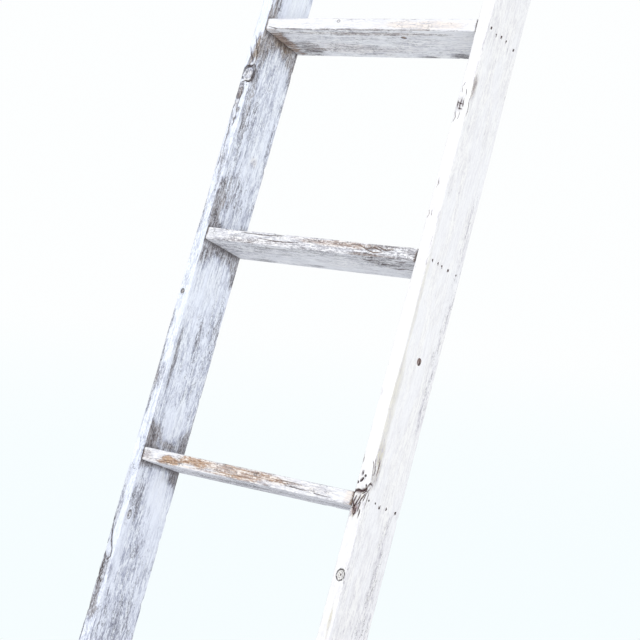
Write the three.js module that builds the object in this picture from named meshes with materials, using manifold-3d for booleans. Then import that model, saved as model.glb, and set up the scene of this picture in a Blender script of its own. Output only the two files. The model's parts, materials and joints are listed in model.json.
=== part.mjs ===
// A leaning quilt ladder: two flat board rails, flat board rungs butted between them,
// and a row of brads through each rail into each rung end.
//
// Millimetres, +Z up. The ladder faces -Y and leans back towards +Y, where its top rests
// on a wall. The origin is on the floor, in the middle of the ladder's bounding box.
//
// Inside the leaning group, x runs across the ladder, y runs from the boards' front
// edges to their back edges, and z runs up along the rails.

import * as THREE from 'three';
import { mergeVertices } from 'three/addons/utils/BufferGeometryUtils.js';
import Module from 'manifold-3d';

// Boards
const BOARD_THICKNESS = 18;
const BOARD_WIDTH = 89;
const RAIL_LENGTH = 1829; // tip to tip, a six-foot board
const INNER_WIDTH = 345; // between the rails' inner faces
const BUTT_GAP = 0.3; // between a rung's end and a rail

// Rungs
const RUNG_COUNT = 5;
const RUNG_SPACING = 318;

// Lean
const LEAN = THREE.MathUtils.degToRad(18);
const WALL_FACE = 60; // height of the plumb cut that rests on the wall

// Brads
const BRAD_LENGTH = 45;
const BRAD_SHANK = 0.8; // radius
const BRAD_HEAD = 1.4; // radius
const BRAD_HEAD_THICKNESS = 1;
const BRAD_POINT = 3; // length of the pointed end
const BRAD_SUNK = 0.5; // depth of the head below the rail's outer face
const BRAD_CLEARANCE = 0.3;
const BRAD_HOLE_OVERRUN = 1; // how far a hole's cutter stands out of the rail
const BRAD_SIDES = 8;
const BRAD_DEPTHS = [10, 25, 39, 54, 77]; // from the front edge
const BRAD_STRAY = 2; // most that a brad strays from its place in the row

const RAIL_COLOR = 0xe6e8ee;
const RUNG_COLOR = 0xdedfe2;
const BRAD_COLOR = 0x4a4038;

const MIDDLE_RUNG = RAIL_LENGTH / 2;
const END_RISE = BOARD_WIDTH * Math.tan(LEAN); // a level cut's rise from front to back

const wasm = await Module();
wasm.setup();

// A closed geometry as a solid that can be cut.
function toSolid(geometry) {
  const bare = geometry.index ? geometry.toNonIndexed() : geometry.clone();
  bare.deleteAttribute('normal');
  bare.deleteAttribute('uv');
  const merged = mergeVertices(bare, 1e-4);
  return new wasm.Manifold(new wasm.Mesh({
    numProp: 3,
    vertProperties: new Float32Array(merged.attributes.position.array),
    triVerts: new Uint32Array(merged.index.array),
  }));
}

// A cut solid as a geometry again.
function toGeometry(solid) {
  const mesh = solid.getMesh();
  const geometry = new THREE.BufferGeometry();
  geometry.setAttribute('position', new THREE.BufferAttribute(mesh.vertProperties, 3));
  geometry.setIndex(new THREE.BufferAttribute(mesh.triVerts, 1));
  return geometry;
}

function woodMaterial(color) {
  return new THREE.MeshStandardMaterial({ color, roughness: 0.85, metalness: 0 });
}

function bradMaterial() {
  return new THREE.MeshStandardMaterial({ color: BRAD_COLOR, roughness: 0.7, metalness: 0.6 });
}

// Height of a rung's middle along the rails. Rung 1 is the lowest.
function rungHeight(rung) {
  return MIDDLE_RUNG + (rung - (RUNG_COUNT + 1) / 2) * RUNG_SPACING;
}

// Side view of a rail: y from front to back, z along it. Both ends are cut level, and the
// top back corner is cut plumb to meet the wall.
function railOutline() {
  const top = RAIL_LENGTH - END_RISE;
  const frontOfWallFace = BOARD_WIDTH - WALL_FACE * Math.sin(LEAN);
  const topOfWallFace = top + frontOfWallFace * Math.tan(LEAN);
  const outline = new THREE.Shape();
  outline.moveTo(0, 0);
  outline.lineTo(BOARD_WIDTH, END_RISE);
  outline.lineTo(BOARD_WIDTH, topOfWallFace - WALL_FACE * Math.cos(LEAN));
  outline.lineTo(frontOfWallFace, topOfWallFace);
  outline.lineTo(0, top);
  outline.closePath();
  return outline;
}

// A plain rail in its place. side is -1 on the left and 1 on the right.
function railGeometry(side) {
  const geometry = new THREE.ExtrudeGeometry(railOutline(), {
    depth: BOARD_THICKNESS,
    bevelEnabled: false,
  });
  const outlineToRail = new THREE.Matrix4().makeBasis(
    new THREE.Vector3(0, 1, 0),
    new THREE.Vector3(0, 0, 1),
    new THREE.Vector3(1, 0, 0),
  );
  geometry.applyMatrix4(outlineToRail);
  const lowX = side < 0 ? -INNER_WIDTH / 2 - BOARD_THICKNESS : INNER_WIDTH / 2;
  geometry.translate(lowX, 0, 0);
  return geometry;
}

function rungGeometry(rung) {
  const length = INNER_WIDTH - 2 * BUTT_GAP;
  const geometry = new THREE.BoxGeometry(length, BOARD_WIDTH, BOARD_THICKNESS);
  geometry.translate(0, BOARD_WIDTH / 2, rungHeight(rung));
  return geometry;
}

// A brad along +Z, its head's top at z = 0 and its point below, made larger all round by
// grow. A brad's hole is the same shape, run on above the head by overrun.
function bradShape(grow, overrun) {
  const head = BRAD_HEAD + grow;
  const shank = BRAD_SHANK + grow;
  const underHead = -BRAD_HEAD_THICKNESS - grow;
  const profile = [
    new THREE.Vector2(0, -BRAD_LENGTH - grow),
    new THREE.Vector2(shank, -BRAD_LENGTH + BRAD_POINT),
    new THREE.Vector2(shank, underHead),
    new THREE.Vector2(head, underHead),
    new THREE.Vector2(head, overrun),
    new THREE.Vector2(0, overrun),
  ];
  const geometry = new THREE.LatheGeometry(profile, BRAD_SIDES);
  geometry.rotateX(Math.PI / 2); // the lathe turns about y
  return geometry;
}

// How far a brad strays from its place in the row, the same each time for each number.
function stray(number) {
  return BRAD_STRAY * Math.sin(number * number);
}

// Where a brad's head lies: side is -1 or 1, rung from 1, brad from 0 at the front.
function bradPlace(side, rung, brad) {
  const number = rung * BRAD_DEPTHS.length + brad + side / 2;
  const x = side * (INNER_WIDTH / 2 + BOARD_THICKNESS - BRAD_SUNK);
  const y = BRAD_DEPTHS[brad] + stray(number);
  const z = rungHeight(rung) + stray(number + RUNG_COUNT);
  return new THREE.Vector3(x, y, z);
}

// Turned so that the head faces out of the rail, and moved to its place.
function placedBrad(geometry, side, place) {
  const turned = geometry.clone();
  turned.rotateY(side * Math.PI / 2);
  turned.translate(place.x, place.y, place.z);
  return turned;
}

// Calls act with the place and the number of each brad in one joint.
function forEachBrad(side, rung, act) {
  BRAD_DEPTHS.forEach((_, brad) => act(bradPlace(side, rung, brad), brad));
}

// Cuts every brad hole of the given rungs and sides out of a board.
function drilled(geometry, sides, rungs) {
  const hole = bradShape(BRAD_CLEARANCE, BRAD_SUNK + BRAD_HOLE_OVERRUN);
  let solid = toSolid(geometry);
  for (const side of sides) {
    for (const rung of rungs) {
      forEachBrad(side, rung, (place) => {
        solid = solid.subtract(toSolid(placedBrad(hole, side, place)));
      });
    }
  }
  return toGeometry(solid);
}

function namedMesh(name, geometry, material) {
  const mesh = new THREE.Mesh(geometry, material);
  mesh.name = name;
  return mesh;
}

function makeRail(name, side, rungs) {
  const geometry = drilled(railGeometry(side), [side], rungs);
  return namedMesh(name, geometry, woodMaterial(RAIL_COLOR));
}

function makeRung(rung) {
  const geometry = drilled(rungGeometry(rung), [-1, 1], [rung]);
  return namedMesh(`rung_${rung}`, geometry, woodMaterial(RUNG_COLOR));
}

function makeBrads(side, rung) {
  const word = side < 0 ? 'left' : 'right';
  const brads = new THREE.Group();
  const shape = bradShape(0, 0);
  forEachBrad(side, rung, (place, brad) => {
    const name = `brad_${word}_${rung}_${brad + 1}`;
    brads.add(namedMesh(name, placedBrad(shape, side, place), bradMaterial()));
  });
  return brads;
}

function makeLadder() {
  const rungs = Array.from({ length: RUNG_COUNT }, (_, index) => index + 1);
  const ladder = new THREE.Group();
  ladder.add(makeRail('rail_left', -1, rungs), makeRail('rail_right', 1, rungs));
  for (const rung of rungs) {
    ladder.add(makeRung(rung), makeBrads(-1, rung), makeBrads(1, rung));
  }
  return ladder;
}

// Depth of the leaning ladder from its front toe to its wall face.
function footprintDepth() {
  const outline = railOutline().getPoints();
  const depths = outline.map((p) => p.x * Math.cos(LEAN) + p.y * Math.sin(LEAN));
  return Math.max(...depths) - Math.min(...depths);
}

const leaning = makeLadder();
leaning.rotation.x = -LEAN;
leaning.position.y = -footprintDepth() / 2;

const part = new THREE.Group();
part.add(leaning);

export default part;
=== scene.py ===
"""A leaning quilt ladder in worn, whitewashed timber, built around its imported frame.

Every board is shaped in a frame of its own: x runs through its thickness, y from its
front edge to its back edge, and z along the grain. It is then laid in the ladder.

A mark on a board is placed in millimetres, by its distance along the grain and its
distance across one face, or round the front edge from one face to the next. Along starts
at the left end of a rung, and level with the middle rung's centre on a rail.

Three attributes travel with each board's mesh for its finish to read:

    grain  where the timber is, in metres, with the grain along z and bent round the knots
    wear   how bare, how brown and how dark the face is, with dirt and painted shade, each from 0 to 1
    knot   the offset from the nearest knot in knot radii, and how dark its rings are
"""
import json
import logging
import math
from dataclasses import dataclass, field, replace
from enum import Enum

import bmesh
import bpy
import numpy as np
from mathutils import Matrix, Vector, noise


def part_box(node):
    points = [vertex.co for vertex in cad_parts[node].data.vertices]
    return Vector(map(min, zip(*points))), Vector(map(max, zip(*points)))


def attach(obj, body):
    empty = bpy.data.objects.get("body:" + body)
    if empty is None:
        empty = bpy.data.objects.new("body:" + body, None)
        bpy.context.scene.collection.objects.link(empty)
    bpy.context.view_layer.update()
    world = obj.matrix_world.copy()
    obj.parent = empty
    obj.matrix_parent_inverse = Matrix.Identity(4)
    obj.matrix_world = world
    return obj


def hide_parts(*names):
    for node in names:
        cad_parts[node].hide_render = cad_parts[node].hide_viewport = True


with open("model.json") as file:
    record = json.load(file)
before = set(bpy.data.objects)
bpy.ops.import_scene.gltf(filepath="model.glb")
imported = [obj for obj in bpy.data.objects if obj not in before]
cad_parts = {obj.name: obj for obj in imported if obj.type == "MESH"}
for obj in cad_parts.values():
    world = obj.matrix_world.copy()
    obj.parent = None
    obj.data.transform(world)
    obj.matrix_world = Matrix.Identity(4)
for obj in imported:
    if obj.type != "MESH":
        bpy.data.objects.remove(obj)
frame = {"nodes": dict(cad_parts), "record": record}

LOG = logging.getLogger("quilt_ladder")
MM = 0.001

RUNG_COUNT = 5
SHARP_ANGLE = math.radians(55)
MERGE_DISTANCE = 1e-6
HOLE_SLACK = 0.1 * MM
HOLE_SEGMENTS = 20
MARK_MARGIN = 2.0 * MM
PAST_ANY_KNOT = 3.0

# How far in from a board's long edges it is rubbed and chipped, how close to the edge that
# is at its deepest, and how deep.
RUB_REACH, RUB_FULL, RUB_DEPTH = 3.2 * MM, 0.6 * MM, 0.6 * MM
CHIP_REACH, CHIP_FULL, CHIP_DEPTH = 4.5 * MM, 1.0 * MM, 1.3 * MM

# How far hard grain stands proud under paint, and how much further where it is bare, in
# millimetres.
PAINTED_RELIEF, BARE_RELIEF = 0.07, 0.22

# Where a joint's front, middle and back lengths hold, as shares of the rail's width. The
# middle one holds from the second share to the third.
JOINT_STOPS = (0.06, 0.34, 0.7, 0.97)

Triple = tuple[float, float, float]
Bounds = tuple[float, float, float, float]
Row = tuple[float, ...]
Points = tuple[tuple[float, float], ...]
Socket = bpy.types.NodeSocket


class Side(Enum):
    """A board's long faces, as the axis of its own frame they face along, and the way."""

    LOW = (0, -1)
    HIGH = (0, 1)
    FRONT = (1, -1)
    BACK = (1, 1)


LOW, HIGH, FRONT, BACK = Side


@dataclass(frozen=True)
class Patch:
    """A soft-edged worn spot, in millimetres.

    along and across are its middle, from the board's start and from the low edge of its
    side. long and wide are half its size. bare, warm and grime say how much paint is gone,
    how brown the timber is and how dark it is, with dirt, and at a rung's ends also with
    painted shade. A bare below 0 is paint that has lasted. depth is how deep it is worn.
    """

    side: Side
    along: float
    across: float
    long: float
    wide: float
    bare: float
    warm: float = 0.0
    grime_and_shade: float = 0.0
    depth: float = 0.0


@dataclass(frozen=True)
class Knot:
    """A knot, in millimetres, placed and sized as a patch is.

    ring is how dark its rings are, and depth is how far it has sunk or torn out.
    """

    side: Side
    along: float
    across: float
    long: float
    wide: float
    ring: float = 0.6
    depth: float = 0.4
    bare: float = 0.3
    warm: float = 0.3


@dataclass(frozen=True)
class Crack:
    """A crack through a few points, in millimetres, that narrows to its ends.

    Each point is a distance across its side and a distance along the board. A crack on the
    front may run on round either edge. wide is half its width where it is widest.
    """

    side: Side
    points: Points
    wide: float = 0.7
    depth: float = 1.2
    grime_and_shade: float = 0.8
    warm: float = 0.3


@dataclass(frozen=True)
class JointWear:
    """How far the paint has gone above and below one rung, along a rail's inner face.

    The lengths are in millimetres: by the rail's front edge, at its middle and by its back
    edge, above the rung and below it.
    """

    rung: int
    above: Triple
    below: Triple
    warm: float = 0.1
    grime_and_shade: float = 0.2
    bare: float = 0.95


def patches_on(side: Side, *rows: Row) -> list[Patch]:
    """The patches of one side, from the numbers of each in a patch's own order."""
    return [Patch(side, *row) for row in rows]


def cracks_on(side: Side, look: Row, *lines: Points) -> list[Crack]:
    """Cracks of one side that share a look: their width, depth, grime and warmth."""
    return [Crack(side, points, *look) for points in lines]


def smooth(low: float, high: float, value: np.ndarray) -> np.ndarray:
    """A soft step from 0 at low to 1 at high, or down from 1 where high is below low."""
    share = np.clip((value - low) / (high - low), 0.0, 1.0)
    return share * share * (3.0 - 2.0 * share)


def noise_at(points: np.ndarray, scale: Triple, seed: float) -> np.ndarray:
    """Smooth noise from about -1 to 1 at each point.

    Args:
        points: One row of x, y and z a point, in metres.
        scale: Waves a metre along each axis.
        seed: Where in the noise the board lies, so that no two boards match.

    Returns:
        One value a point.
    """
    scaled = points * np.array(scale) + seed
    return np.array([noise.noise(Vector(p)) for p in scaled])


def joined(so_far: np.ndarray, more: np.ndarray) -> np.ndarray:
    """Two worn shares laid over each other, never past 1."""
    return 1.0 - (1.0 - so_far) * (1.0 - np.clip(more, 0.0, 1.0))


def wrapped(side: Side, across: float, thickness: float) -> float:
    """A distance across one side as a distance round the front, from the low edge."""
    return {LOW: -across, HIGH: across + thickness}.get(side, across)


@dataclass
class Surface:
    """A board's points with what its wear adds up to, in the board's own frame."""

    points: np.ndarray
    normals: np.ndarray
    size: Triple
    seed: float
    bare: np.ndarray = field(init=False)
    warm: np.ndarray = field(init=False)
    grime_and_shade: np.ndarray = field(init=False)
    sunk: np.ndarray = field(init=False)
    knot: np.ndarray = field(init=False)
    grain: np.ndarray = field(init=False)
    ragged: np.ndarray = field(init=False)
    around: np.ndarray = field(init=False)

    def __post_init__(self) -> None:
        """Starts with sound, painted timber everywhere."""
        count = len(self.points)
        self.bare, self.warm, self.grime_and_shade, self.sunk = np.zeros((4, count))
        self.knot = np.zeros((count, 3))
        self.knot[:, :2] = PAST_ANY_KNOT
        self.grain = self.points.copy()
        broad = noise_at(self.points, (75, 75, 17), self.seed)
        fine = noise_at(self.points, (210, 210, 60), self.seed + 4.4)
        self.ragged = 0.7 * broad + 0.6 * fine
        x, y, _ = self.points.T
        self.around = np.where(x > self.size[0] / 2, x + y, x - y)

    def facing(self, side: Side) -> np.ndarray:
        """How squarely each point's face looks the way of that side, from 0 to 1."""
        axis, way = side.value
        return smooth(0.35, 0.85, self.normals[:, axis] * way)

    def reached(self, side: Side) -> np.ndarray:
        """Where a spot on that side may show. A spot on the front may reach round it."""
        if side is FRONT:
            return smooth(0.6 * self.size[1], 0.5 * self.size[1], self.points[:, 1])
        return self.facing(side)

    def offset(self, spot: Patch | Knot) -> tuple[np.ndarray, np.ndarray]:
        """Each point's offset from a spot, in the spot's own half sizes.

        Args:
            spot: The patch or the knot.

        Returns:
            The offsets along the grain and the offsets across it.
        """
        along = (self.points[:, 2] - spot.along * MM) / (spot.long * MM)
        if spot.side is BACK:
            return along, (self.points[:, 0] - spot.across * MM) / (spot.wide * MM)
        middle = wrapped(spot.side, spot.across * MM, self.size[0])
        return along, (self.around - middle) / (spot.wide * MM)

    def lay(self, share: np.ndarray, bare: float = 0.0, warm: float = 0.0,
            grime_and_shade: float = 0.0) -> None:
        """Adds some wear over what is there.

        Args:
            share: How much of it each point takes.
            bare: How much paint it takes off.
            warm: How brown it leaves the timber.
            grime_and_shade: How dark it leaves it: dirt, and at the joints painted shade.
        """
        self.bare = joined(self.bare, bare * share)
        self.warm = joined(self.warm, warm * share)
        self.grime_and_shade = joined(self.grime_and_shade, grime_and_shade * share)

    def add_patch(self, spot: Patch) -> None:
        """Wears the paint off one spot with a ragged edge, or keeps it there.

        Args:
            spot: The patch.
        """
        along, across = self.offset(spot)
        reach = np.hypot(along, across) + 0.65 * self.ragged
        share = smooth(1.25, 0.45, reach) * self.reached(spot.side)
        self.bare *= 1.0 - np.clip(-spot.bare * share, 0.0, 1.0)
        self.lay(share, spot.bare, spot.warm, spot.grime_and_shade)
        if spot.depth:
            torn = smooth(1.0, 0.6, reach) * self.reached(spot.side)
            fibres = noise_at(self.points, (380, 380, 38), self.seed + 3.1)
            self.sunk += spot.depth * MM * torn * np.clip(0.6 + 0.8 * fibres, 0.0, 1.3)

    def add_knot(self, spot: Knot) -> None:
        """Sinks a knot, rings it, and bends the grain round it.

        Args:
            spot: The knot.
        """
        along, across = self.offset(spot)
        reach = np.hypot(along, across) + 0.18 * self.ragged
        shown = self.reached(spot.side)
        near = smooth(2.6, 1.4, reach) * shown
        closest = near > self.knot[:, 2]
        mine = np.stack((along, across, near * spot.ring), axis=1)
        self.knot[closest] = mine[closest]
        core = smooth(1.2, 0.8, reach) * shown
        rings = 0.5 + 0.5 * np.cos(reach * 9.0)
        self.sunk += spot.depth * MM * core * (0.35 + 0.65 * rings)
        self.lay(core, spot.bare, spot.warm)
        push = np.exp(-0.5 * reach * reach) * shown * spot.wide * MM
        self.grain[:, 1 - spot.side.value[0]] -= push * np.tanh(2.0 * across)

    def add_crack(self, crack: Crack) -> None:
        """Opens a crack along its points.

        Args:
            crack: The crack.
        """
        line = np.array([
            (wrapped(crack.side, across * MM, self.size[0]), along * MM)
            for across, along in crack.points
        ])
        spots = np.stack((self.around, self.points[:, 2]), axis=1)
        steps = np.linalg.norm(np.diff(line, axis=0), axis=1)
        gone, total = 0.0, steps.sum()
        nearest = np.full(len(spots), np.inf)
        for start, end, step in zip(line, line[1:], steps):
            run = (end - start) / step
            share = np.clip((spots - start) @ run, 0.0, step)
            away = np.linalg.norm(spots - start - share[:, None] * run, axis=1)
            done = (gone + share) / total
            open_to = crack.wide * MM * np.sqrt(np.clip(4.0 * done * (1.0 - done), 0.05, 1.0))
            nearest = np.minimum(nearest, away / open_to)
            gone += step
        share = smooth(1.5, 0.5, nearest) * self.reached(crack.side)
        self.sunk += crack.depth * MM * share
        self.lay(share, 1.0, crack.warm, crack.grime_and_shade)

    def add_edge_wear(self, amount: float) -> None:
        """Rubs paint off the long edges, and takes small chips out of them.

        Args:
            amount: How much of the paint goes, from 0 to 1.
        """
        x, y, _ = self.points.T
        from_x = np.minimum(x, self.size[0] - x)
        from_y = np.minimum(y, self.size[1] - y)
        from_edge = np.hypot(np.maximum(from_x, 0.0), np.maximum(from_y, 0.0))
        rub = noise_at(self.points, (30, 30, 12), self.seed + 7.7)
        nick = noise_at(self.points, (90, 90, 55), self.seed + 9.3)
        close = smooth(RUB_REACH, RUB_FULL, from_edge)
        self.lay(amount * close * smooth(-0.1, 0.5, rub), bare=1.0)
        self.sunk += RUB_DEPTH * close * smooth(-0.2, 0.7, rub)
        chip = smooth(CHIP_REACH, CHIP_FULL, from_edge) * smooth(0.42, 0.62, nick)
        self.sunk += CHIP_DEPTH * chip
        self.lay(1.3 * amount * chip, bare=1.0)

    def add_grain_relief(self) -> None:
        """Lets the hard grain stand proud where the paint has gone."""
        coarse = noise_at(self.grain, (210, 210, 7), self.seed + 1.3)
        fine = noise_at(self.grain, (340, 340, 15), self.seed + 5.9)
        relief = np.clip(0.5 + 0.9 * coarse + 0.5 * fine, 0.0, 1.2)
        self.sunk += (PAINTED_RELIEF + BARE_RELIEF * self.bare) * MM * relief


def mesh_of(name: str, shape: bmesh.types.BMesh) -> bpy.types.Mesh:
    """Turns a finished shape into a mesh, and lets go of the shape.

    Args:
        name: What to call the mesh.
        shape: The shape.

    Returns:
        The mesh.
    """
    data = bpy.data.meshes.new(name)
    shape.to_mesh(data)
    shape.free()
    return data


class Timber:
    """Shapes a board's solid with cuts, rounding and a fine grid, before its wear."""

    def __init__(self, size: Triple, radius: float) -> None:
        """Starts from a plain board.

        Args:
            size: Thickness, width and length in metres.
            radius: How far the board's edges are rounded.
        """
        self.mesh = bmesh.new()
        self.thickness = size[0]
        bmesh.ops.create_cube(self.mesh, size=1.0)
        stretch = Matrix.Diagonal((*size, 1.0))
        centre = Matrix.Translation(Vector(size) / 2)
        bmesh.ops.transform(self.mesh, matrix=centre @ stretch, verts=self.mesh.verts)
        bmesh.ops.bevel(
            self.mesh, geom=list(self.mesh.edges), offset=radius, affect="EDGES",
            segments=3, profile=0.5, material=-1,
        )

    def divide(self, axis: int, spacing: float) -> None:
        """Cuts every long edge that runs along one axis into short pieces.

        Args:
            axis: The axis, 0 to 2.
            spacing: About how long the pieces are.
        """
        runs = [e for e in self.mesh.edges if self._runs_along(e, axis)]
        longest = max(e.calc_length() for e in runs)
        bmesh.ops.subdivide_edges(
            self.mesh, edges=[e for e in runs if e.calc_length() > 0.9 * longest],
            cuts=round(longest / spacing) - 1, use_grid_fill=True,
        )

    @staticmethod
    def _runs_along(edge: bmesh.types.BMEdge, axis: int) -> bool:
        """Whether an edge lies along that axis."""
        run = edge.verts[1].co - edge.verts[0].co
        return abs(run[axis]) > 0.999 * run.length

    def refine(self, places: list[Bounds], spacing: float) -> None:
        """Makes the grid finer in a few places.

        Args:
            places: Each place's bounds round the front from the low edge, and along.
            spacing: How far apart the finer grid's points are.
        """
        for lengthwise in (True, False):
            self.mesh.verts.index_update()
            inside = [self._places_at(v.co, places) for v in self.mesh.verts]
            chosen = [
                e for e in self.mesh.edges
                if inside[e.verts[0].index] & inside[e.verts[1].index]
                and self._runs_along(e, 2) is lengthwise
                and e.calc_length() > 1.4 * spacing
            ]
            if chosen:
                longest = max(e.calc_length() for e in chosen)
                bmesh.ops.subdivide_edges(
                    self.mesh, edges=chosen, cuts=max(1, round(longest / spacing) - 1),
                    use_grid_fill=True,
                )

    def _places_at(self, point: Vector, places: list[Bounds]) -> frozenset[int]:
        """Finds out which of several places a point lies in.

        Args:
            point: The point, in the board's own frame.
            places: Each place's bounds round the front from the low edge, and along.

        Returns:
            The places' numbers in their list.
        """
        x, y, z = point
        turn = x + y if x > self.thickness / 2 else x - y
        return frozenset(
            i for i, (low, high, start, end) in enumerate(places)
            if start <= z <= end and low <= turn <= high
        )

    def shear_ends(self, slope: float) -> None:
        """Slants both ends, so that they rise by slope from front to back."""
        shear = Matrix.Identity(4)
        shear[2][1] = slope
        bmesh.ops.transform(self.mesh, matrix=shear, verts=self.mesh.verts)

    def cut_flat(self, point: Vector, outward: Vector) -> None:
        """Cuts away what lies past a plane, and closes the cut.

        Args:
            point: A point on the plane.
            outward: The way the cut face looks.
        """
        everything = [*self.mesh.verts, *self.mesh.edges, *self.mesh.faces]
        cut = bmesh.ops.bisect_plane(
            self.mesh, geom=everything, plane_co=point, plane_no=outward, clear_outer=True
        )
        rim = [g for g in cut["geom_cut"] if isinstance(g, bmesh.types.BMEdge)]
        made = bmesh.ops.contextual_create(self.mesh, geom=rim)
        bmesh.ops.triangulate(self.mesh, faces=made["faces"])

    def finished(self, name: str) -> bpy.types.Mesh:
        """The shape as a smooth mesh."""
        for face in self.mesh.faces:
            face.smooth = True
        return mesh_of(name, self.mesh)


@dataclass(frozen=True)
class Drill:
    """A round hole to cut in a board, in the board's own frame, along its x axis."""

    start: Vector
    end: Vector
    radius: float
    warm: float = 1.0
    grime_and_shade: float = 1.0


def drill_mesh(drills: list[Drill]) -> bpy.types.Mesh:
    """All of a board's holes as one mesh of closed round plugs.

    Args:
        drills: The holes, which don't touch each other.

    Returns:
        A mesh that a board can be cut by.
    """
    plugs = bmesh.new()
    turn = Matrix.Rotation(math.pi / 2, 4, "Y")
    for drill in drills:
        middle = (drill.end + drill.start) / 2
        bmesh.ops.create_cone(
            plugs, cap_ends=True, segments=HOLE_SEGMENTS, radius1=drill.radius,
            radius2=drill.radius, depth=(drill.end - drill.start).length,
            matrix=Matrix.Translation(middle) @ turn,
        )
    return mesh_of("drills", plugs)


def shown_object(name: str, data: bpy.types.Mesh) -> bpy.types.Object:
    """A mesh as an object of the scene, at the origin."""
    made = bpy.data.objects.new(name, data)
    bpy.context.scene.collection.objects.link(made)
    return made


def cut_holes(data: bpy.types.Mesh, drills: list[Drill]) -> bpy.types.Mesh:
    """Cuts holes in a board.

    Args:
        data: The board's mesh, which is closed.
        drills: The holes.

    Returns:
        The board's mesh with its holes.
    """
    board = shown_object("board_to_drill", data)
    plugs = shown_object("drills", drill_mesh(drills))
    cut = board.modifiers.new("holes", "BOOLEAN")
    cut.operation = "DIFFERENCE"
    cut.solver = "EXACT"
    cut.object = plugs
    graph = bpy.context.evaluated_depsgraph_get()
    drilled = bpy.data.meshes.new_from_object(board.evaluated_get(graph))
    for spent in (board, plugs):
        bpy.data.objects.remove(spent)
    return drilled


@dataclass(frozen=True)
class Pose:
    """How the ladder leans and where its boards lie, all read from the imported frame."""

    lean: float
    origin: Vector
    thickness: float
    width: float
    rung_heights: tuple[float, ...]
    inner: float
    outer: float
    front_length: float
    wall_depth: float

    @classmethod
    def from_frame(cls) -> "Pose":
        """Works the ladder's dimensions out from the boxes of its nodes.

        Returns:
            The dimensions, in metres and radians.
        """
        mounts = {m["name"]: m for m in frame["record"]["mounts"]}
        along = mounts["quilt_rest_1"]["axis"]
        lean = math.atan2(along[1], along[2])
        low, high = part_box("rung_1")
        spread = high - low
        sin, cos = math.sin(lean), math.cos(lean)
        width = (spread.y * cos - spread.z * sin) / (cos * cos - sin * sin)
        thickness = (spread.z - width * sin) / cos
        rail_low, rail_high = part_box("rail_right")
        origin = Vector((0.0, rail_low.y, rail_low.z))
        heights = []
        for rung in range(1, RUNG_COUNT + 1):
            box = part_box(f"rung_{rung}")
            middle = (box[0] + box[1]) / 2 - origin
            heights.append(middle.y * sin + middle.z * cos)
        return cls(
            lean=lean,
            origin=origin,
            thickness=thickness,
            width=width,
            rung_heights=tuple(heights),
            inner=rail_low.x,
            outer=rail_high.x,
            front_length=(rail_high.z - rail_low.z) / cos,
            wall_depth=rail_high.y - rail_low.y,
        )

    def ladder(self) -> Matrix:
        """From the leaning ladder's frame to the row frame."""
        return Matrix.Translation(self.origin) @ Matrix.Rotation(-self.lean, 4, "X")

    def up(self, above: float) -> float:
        """Distance up a rail to a point above the middle rung's centre, in millimetres."""
        return self.rung_heights[RUNG_COUNT // 2] / MM + above

    def rail_place(self, side: int) -> Matrix:
        """From a rail's own frame to the row frame. side is -1 on the left, 1 on the right."""
        start = self.inner if side > 0 else -self.outer
        return self.ladder() @ Matrix.Translation((start, 0.0, 0.0))

    def rung_place(self, rung: int) -> Matrix:
        """From a rung's own frame to the row frame: grain along +X, and its top at x = 0.

        Args:
            rung: The rung's number, from 1 at the foot.

        Returns:
            The transform.
        """
        low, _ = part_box(f"rung_{rung}")
        top = self.rung_heights[rung - 1] + self.thickness / 2
        turn = Matrix(((0, 0, 1, 0), (0, 1, 0, 0), (-1, 0, 0, 0), (0, 0, 0, 1)))
        return self.ladder() @ Matrix.Translation((low.x, 0.0, top)) @ turn


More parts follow.
